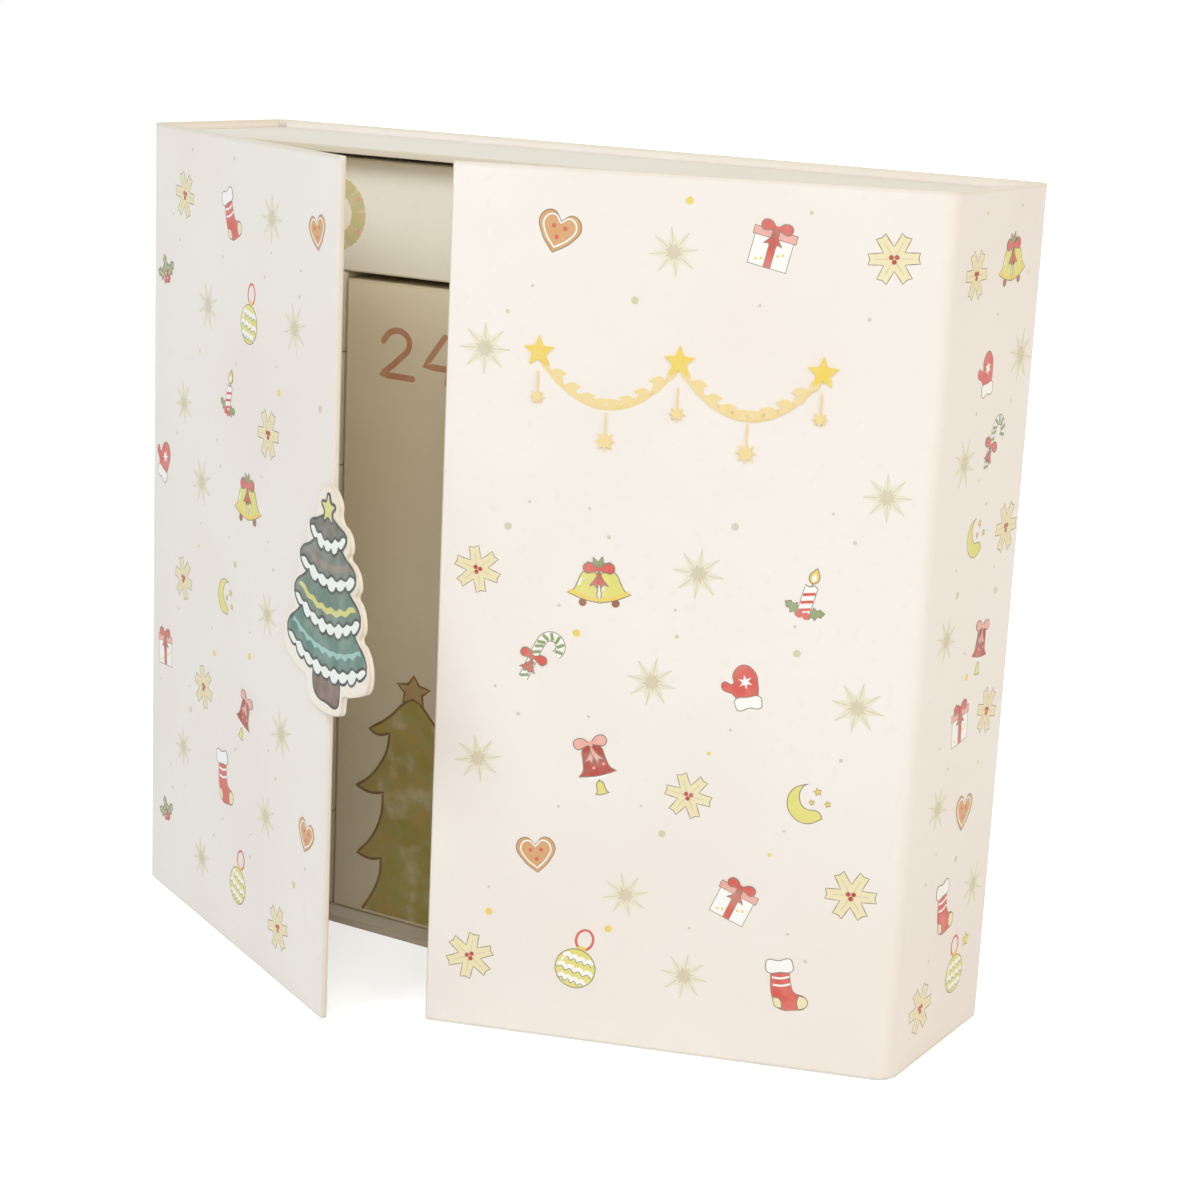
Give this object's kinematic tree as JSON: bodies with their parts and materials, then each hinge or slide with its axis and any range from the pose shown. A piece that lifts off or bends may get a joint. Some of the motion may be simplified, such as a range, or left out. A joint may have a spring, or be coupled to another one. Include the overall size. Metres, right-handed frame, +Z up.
{
  "type": "advent calendar box",
  "caption": "Upright paperboard advent calendar: a shallow tray of numbered cartons behind two hinged doors that a tree-shaped tab closes.",
  "frame": {"origin": "on the floor, under the middle of the closed case: the centre of the tray bottom's underside", "axes": "+Z up; the doors face -Y and the back panel faces +Y; +X to the right of someone who faces the doors"},
  "size_m": [0.33, 0.1714, 0.3],
  "materials": {
    "cover_paper": "matte",
    "lining_paper": "matte",
    "tray_paper": "matte",
    "carton_card": "matte",
    "tab_card": "matte",
    "tab_print": "matte",
    "nickel_plate": "satin"
  },
  "bodies": {
    "case": {"back_panel": "cover_paper", "left_spine": "cover_paper", "right_spine": "cover_paper", "left_rear_bend": "cover_paper", "right_rear_bend": "cover_paper", "left_hinge_strip": "cover_paper", "right_hinge_strip": "cover_paper", "tray_bottom": "tray_paper", "tray_top": "tray_paper", "tray_left": "tray_paper", "tray_right": "tray_paper", "tray_back": "tray_paper"},
    "left_leaf": {"left_door": "cover_paper", "left_door_liner": "lining_paper", "tree_tab_board": "tab_card", "tree_tab_face": "tab_print", "tab_magnet": "nickel_plate"},
    "right_leaf": {"right_door": "cover_paper", "right_door_liner": "lining_paper", "steel_keeper": "nickel_plate"},
    "day_01": {"carton_01": "carton_card"},
    "day_02": {"carton_02": "carton_card"},
    "day_03": {"carton_03": "carton_card"},
    "day_04": {"carton_04": "carton_card"},
    "day_05": {"carton_05": "carton_card"},
    "day_06": {"carton_06": "carton_card"},
    "day_07": {"carton_07": "carton_card"},
    "day_08": {"carton_08": "carton_card"},
    "day_09": {"carton_09": "carton_card"},
    "day_10": {"carton_10": "carton_card"},
    "day_11": {"carton_11": "carton_card"},
    "day_12": {"carton_12": "carton_card"},
    "day_13": {"carton_13": "carton_card"},
    "day_14": {"carton_14": "carton_card"},
    "day_15": {"carton_15": "carton_card"},
    "day_16": {"carton_16": "carton_card"},
    "day_17": {"carton_17": "carton_card"},
    "day_18": {"carton_18": "carton_card"},
    "day_19": {"carton_19": "carton_card"},
    "day_20": {"carton_20": "carton_card"},
    "day_21": {"carton_21": "carton_card"},
    "day_22": {"carton_22": "carton_card"},
    "day_23": {"carton_23": "carton_card"},
    "day_24": {"carton_24": "carton_card"}
  },
  "joints": [
    {"name": "left_door_hinge", "type": "hinge", "parent": "case", "child": "left_leaf", "pos_m": [-0.16371, -0.03771, 0.15], "axis": [0, 0, -1], "range_deg": [-9.8, 152.7], "deforming": ["left_hinge_strip"]},
    {"name": "right_door_hinge", "type": "hinge", "parent": "case", "child": "right_leaf", "pos_m": [0.16371, -0.03771, 0.15], "axis": [0, 0, 1], "range_deg": [-18.8, 161.2], "deforming": ["right_hinge_strip"]},
    {"name": "carton_01_slide", "type": "slide", "parent": "case", "child": "day_01", "axis": [0, -1, 0], "range_m": [0, 0.05]},
    {"name": "carton_02_slide", "type": "slide", "parent": "case", "child": "day_02", "axis": [0, -1, 0], "range_m": [0, 0.012]},
    {"name": "carton_03_slide", "type": "slide", "parent": "case", "child": "day_03", "axis": [0, -1, 0], "range_m": [0, 0.013]},
    {"name": "carton_04_slide", "type": "slide", "parent": "case", "child": "day_04", "axis": [0, -1, 0], "range_m": [0, 0.05]},
    {"name": "carton_05_slide", "type": "slide", "parent": "case", "child": "day_05", "axis": [0, -1, 0], "range_m": [0, 0.03]},
    {"name": "carton_06_slide", "type": "slide", "parent": "case", "child": "day_06", "axis": [0, -1, 0], "range_m": [0, 0.013]},
    {"name": "carton_07_slide", "type": "slide", "parent": "case", "child": "day_07", "axis": [0, -1, 0], "range_m": [0, 0.03]},
    {"name": "carton_08_slide", "type": "slide", "parent": "case", "child": "day_08", "axis": [0, -1, 0], "range_m": [0, 0.013]},
    {"name": "carton_09_slide", "type": "slide", "parent": "case", "child": "day_09", "axis": [0, -1, 0], "range_m": [0, 0.012]},
    {"name": "carton_10_slide", "type": "slide", "parent": "case", "child": "day_10", "axis": [0, -1, 0], "range_m": [0, 0.013]},
    {"name": "carton_11_slide", "type": "slide", "parent": "case", "child": "day_11", "axis": [0, -1, 0], "range_m": [0, 0.03]},
    {"name": "carton_12_slide", "type": "slide", "parent": "case", "child": "day_12", "axis": [0, -1, 0], "range_m": [0, 0.05]},
    {"name": "carton_13_slide", "type": "slide", "parent": "case", "child": "day_13", "axis": [0, -1, 0], "range_m": [0, 0.012]},
    {"name": "carton_14_slide", "type": "slide", "parent": "case", "child": "day_14", "axis": [0, -1, 0], "range_m": [0, 0.013]},
    {"name": "carton_15_slide", "type": "slide", "parent": "case", "child": "day_15", "axis": [0, -1, 0], "range_m": [0, 0.05]},
    {"name": "carton_16_slide", "type": "slide", "parent": "case", "child": "day_16", "axis": [0, -1, 0], "range_m": [0, 0.012]},
    {"name": "carton_17_slide", "type": "slide", "parent": "case", "child": "day_17", "axis": [0, -1, 0], "range_m": [0, 0.012]},
    {"name": "carton_18_slide", "type": "slide", "parent": "case", "child": "day_18", "axis": [0, -1, 0], "range_m": [0, 0.03]},
    {"name": "carton_19_slide", "type": "slide", "parent": "case", "child": "day_19", "axis": [0, -1, 0], "range_m": [0, 0.013]},
    {"name": "carton_20_slide", "type": "slide", "parent": "case", "child": "day_20", "axis": [0, -1, 0], "range_m": [0, 0.03]},
    {"name": "carton_21_slide", "type": "slide", "parent": "case", "child": "day_21", "axis": [0, -1, 0], "range_m": [0, 0.013]},
    {"name": "carton_22_slide", "type": "slide", "parent": "case", "child": "day_22", "axis": [0, -1, 0], "range_m": [0, 0.05]},
    {"name": "carton_23_slide", "type": "slide", "parent": "case", "child": "day_23", "axis": [0, -1, 0], "range_m": [0, 0.012]},
    {"name": "carton_24_slide", "type": "slide", "parent": "case", "child": "day_24", "axis": [0, -1, 0], "range_m": [0, 0.05]}
  ]
}
